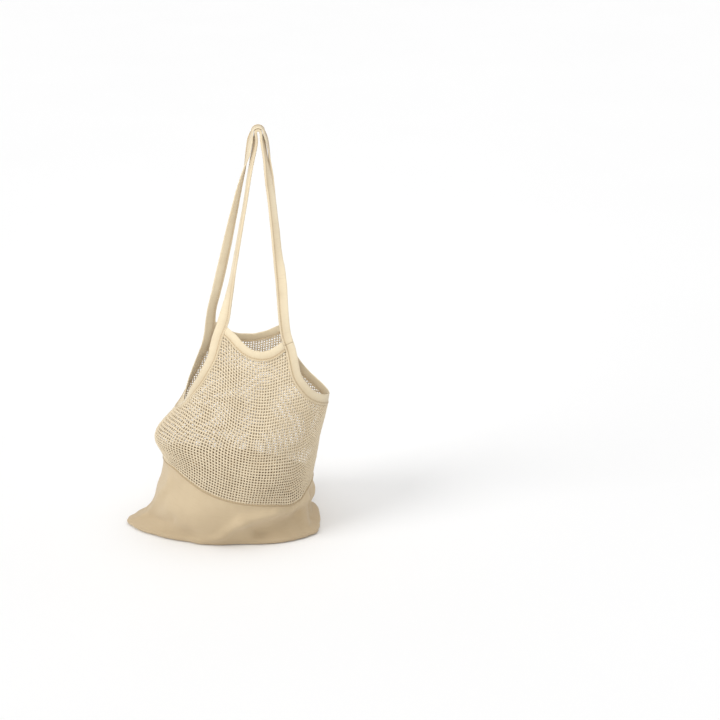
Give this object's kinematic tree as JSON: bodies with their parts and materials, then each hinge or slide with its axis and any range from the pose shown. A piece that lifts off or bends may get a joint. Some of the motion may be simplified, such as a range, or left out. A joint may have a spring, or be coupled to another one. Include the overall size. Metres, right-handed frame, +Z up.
{
  "type": "string shopping bag",
  "caption": "Hanging cotton shopping bag with a calico lower bag, square-net panels, tape-bound scooped edges and long shoulder handles.",
  "frame": {"origin": "the hanging point, inside the bend where the handles loop over what holds the bag up", "axes": "+Z up along the handles, +X to the viewer's right across the front, -Y towards the viewer, out of the front net"},
  "size_m": [0.2848, 0.1835, 0.5626],
  "materials": {
    "calico": "plain woven undyed cotton calico, matt",
    "net": "undyed knitted cotton square net, matt",
    "tape": "undyed cotton tape folded double and stitched, fine ribs, matt"
  },
  "bodies": {
    "root": {"calico_bag": "calico", "front_net": "net", "back_net": "net", "handle_tape": "tape", "side_tape": "tape", "front_neck_tape": "tape", "back_neck_tape": "tape"}
  },
  "joints": []
}
